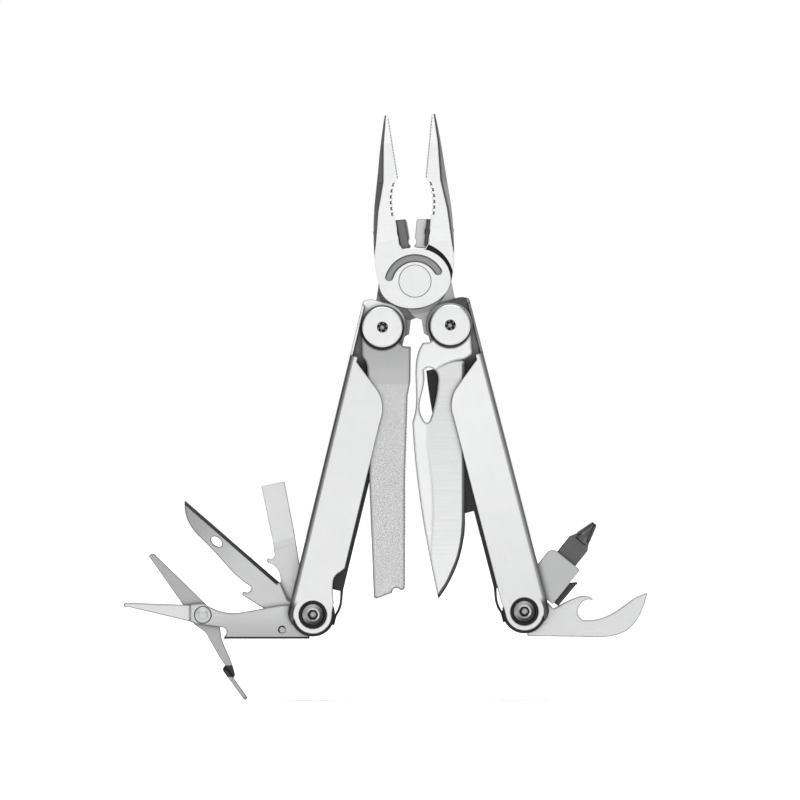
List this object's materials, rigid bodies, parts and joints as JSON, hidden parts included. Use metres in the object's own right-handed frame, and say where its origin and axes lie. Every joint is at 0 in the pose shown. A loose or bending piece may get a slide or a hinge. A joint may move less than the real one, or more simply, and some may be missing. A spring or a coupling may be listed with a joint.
{
  "type": "folding multi tool",
  "caption": "Folding pocket multi tool opened out: needle-nose pliers on two channel handles with a knife, a file, scissors, an awl, screwdrivers and a can opener fanned out.",
  "frame": {"origin": "centre of the plier pivot, at mid thickness", "axes": "+Z towards the jaw tips, front towards -Y, +X towards the handle that carries the knife, as opened out at rest"},
  "size_m": [0.1574, 0.0188, 0.176],
  "materials": {
    "jaw_steel": "light satin steel with long brush lines and darker bevelled edges",
    "rivet_steel": "turned satin steel",
    "cutter_steel": "dark satin tool steel",
    "small_fastener_steel": "turned steel",
    "handle_steel": "satin folded stainless sheet, bright front plates and darker folds",
    "head_fastener_steel": "bright faced steel with a chamfered rim and dark drive recess",
    "end_fastener_steel": "domed bright steel with a dark drive recess",
    "spacer_steel": "dark plain steel",
    "spring_steel": "dark spring steel",
    "file_steel": "satin tang and a speckled abrasive face",
    "knife_steel": "bright spine zone and a cross-brushed grind",
    "scissors_steel": "satin steel",
    "scissors_blade_steel": "dark satin steel",
    "scissors_spring_steel": "dark spring steel",
    "awl_steel": "light satin steel with darker ground bevels",
    "screwdriver_steel": "satin steel with dark sides",
    "driver_steel": "mid grey satin steel",
    "retainer_steel": "dark spring steel",
    "bit_steel": "dark hardened steel",
    "opener_steel": "light satin steel with a ground inner edge"
  },
  "bodies": {
    "left_jaw": {"left_jaw": "jaw_steel", "main_rivet": "rivet_steel", "left_wire_cutter": "cutter_steel", "left_cutter_screw": "small_fastener_steel"},
    "right_jaw": {"right_jaw": "jaw_steel", "right_wire_cutter": "cutter_steel", "right_cutter_screw": "small_fastener_steel"},
    "left_handle": {"left_handle_frame": "handle_steel", "left_head_bolt": "head_fastener_steel", "left_head_nut": "head_fastener_steel", "left_head_spacers": "spacer_steel", "left_end_bolt": "end_fastener_steel", "left_end_nut": "end_fastener_steel", "left_end_spacers": "spacer_steel"},
    "right_handle": {"right_handle_frame": "handle_steel", "right_head_bolt": "head_fastener_steel", "right_head_nut": "head_fastener_steel", "right_head_spacers": "spacer_steel", "right_end_bolt": "end_fastener_steel", "right_end_nut": "end_fastener_steel", "right_end_spacers": "spacer_steel"},
    "file": {"file": "file_steel"},
    "knife": {"knife": "knife_steel"},
    "scissors": {"scissors_body": "scissors_steel", "scissors_rivet": "small_fastener_steel", "scissors_spring": "scissors_spring_steel", "scissors_spring_pin": "small_fastener_steel"},
    "scissors_blade": {"scissors_blade": "scissors_blade_steel"},
    "awl": {"awl": "awl_steel"},
    "screwdriver": {"screwdriver": "screwdriver_steel"},
    "bit_driver": {"bit_driver": "driver_steel", "bit_retainer": "retainer_steel"},
    "bit": {"driver_bit": "bit_steel"},
    "can_opener": {"can_opener": "opener_steel"},
    "left_lock_spring": {"left_lock_spring": "spring_steel"},
    "right_lock_spring": {"right_lock_spring": "spring_steel"}
  },
  "joints": [
    {"name": "plier_hinge", "type": "hinge", "parent": "left_jaw", "child": "right_jaw", "pos_m": [0, 0, 0], "axis": [0, 1, 0], "range_deg": [-14.5, 25]},
    {"name": "left_handle_fold", "type": "hinge", "parent": "right_jaw", "child": "left_handle", "pos_m": [-0.00977, 0, -0.01383], "axis": [0, -1, 0], "range_deg": [-171.9, 0]},
    {"name": "right_handle_fold", "type": "hinge", "parent": "left_jaw", "child": "right_handle", "pos_m": [0.0106, 0, -0.0132], "axis": [0, 1, 0], "range_deg": [-174, 0]},
    {"name": "file_pivot", "type": "hinge", "parent": "left_handle", "child": "file", "pos_m": [-0.00977, 0, -0.01383], "axis": [0, -1, 0], "range_deg": [-13.6, 24]},
    {"name": "knife_pivot", "type": "hinge", "parent": "right_handle", "child": "knife", "pos_m": [0.0106, 0, -0.0132], "axis": [0, 1, 0], "range_deg": [-15, 24]},
    {"name": "scissors_pivot", "type": "hinge", "parent": "left_handle", "child": "scissors", "pos_m": [-0.03065, 0, -0.10014], "axis": [0, -1, 0], "range_deg": [-105.6, 70]},
    {"name": "scissors_blade_pivot", "type": "hinge", "parent": "scissors", "child": "scissors_blade", "pos_m": [-0.0637, 0, -0.10024], "axis": [0, 1, 0], "range_deg": [-42, 0]},
    {"name": "awl_pivot", "type": "hinge", "parent": "left_handle", "child": "awl", "pos_m": [-0.03065, 0, -0.10014], "axis": [0, -1, 0], "range_deg": [-66.7, 111]},
    {"name": "screwdriver_pivot", "type": "hinge", "parent": "left_handle", "child": "screwdriver", "pos_m": [-0.03065, 0, -0.10014], "axis": [0, -1, 0], "range_deg": [-33, 143]},
    {"name": "bit_driver_pivot", "type": "hinge", "parent": "right_handle", "child": "bit_driver", "pos_m": [0.03283, 0, -0.09918], "axis": [0, 1, 0], "range_deg": [-53.2, 120]},
    {"name": "can_opener_pivot", "type": "hinge", "parent": "right_handle", "child": "can_opener", "pos_m": [0.03283, 0, -0.09918], "axis": [0, 1, 0], "range_deg": [-104.5, 66]},
    {"name": "bit_slide", "type": "slide", "parent": "bit_driver", "child": "bit", "axis": [0.6252, 0, 0.7804], "range_m": [0, 0.012]},
    {"name": "left_lock_release", "type": "hinge", "parent": "left_handle", "child": "left_lock_spring", "pos_m": [-0.01698, 0, -0.07212], "axis": [0, -1, 0], "range_deg": [0, 4]},
    {"name": "right_lock_release", "type": "hinge", "parent": "right_handle", "child": "right_lock_spring", "pos_m": [0.01872, 0, -0.07137], "axis": [0, 1, 0], "range_deg": [0, 4]}
  ]
}
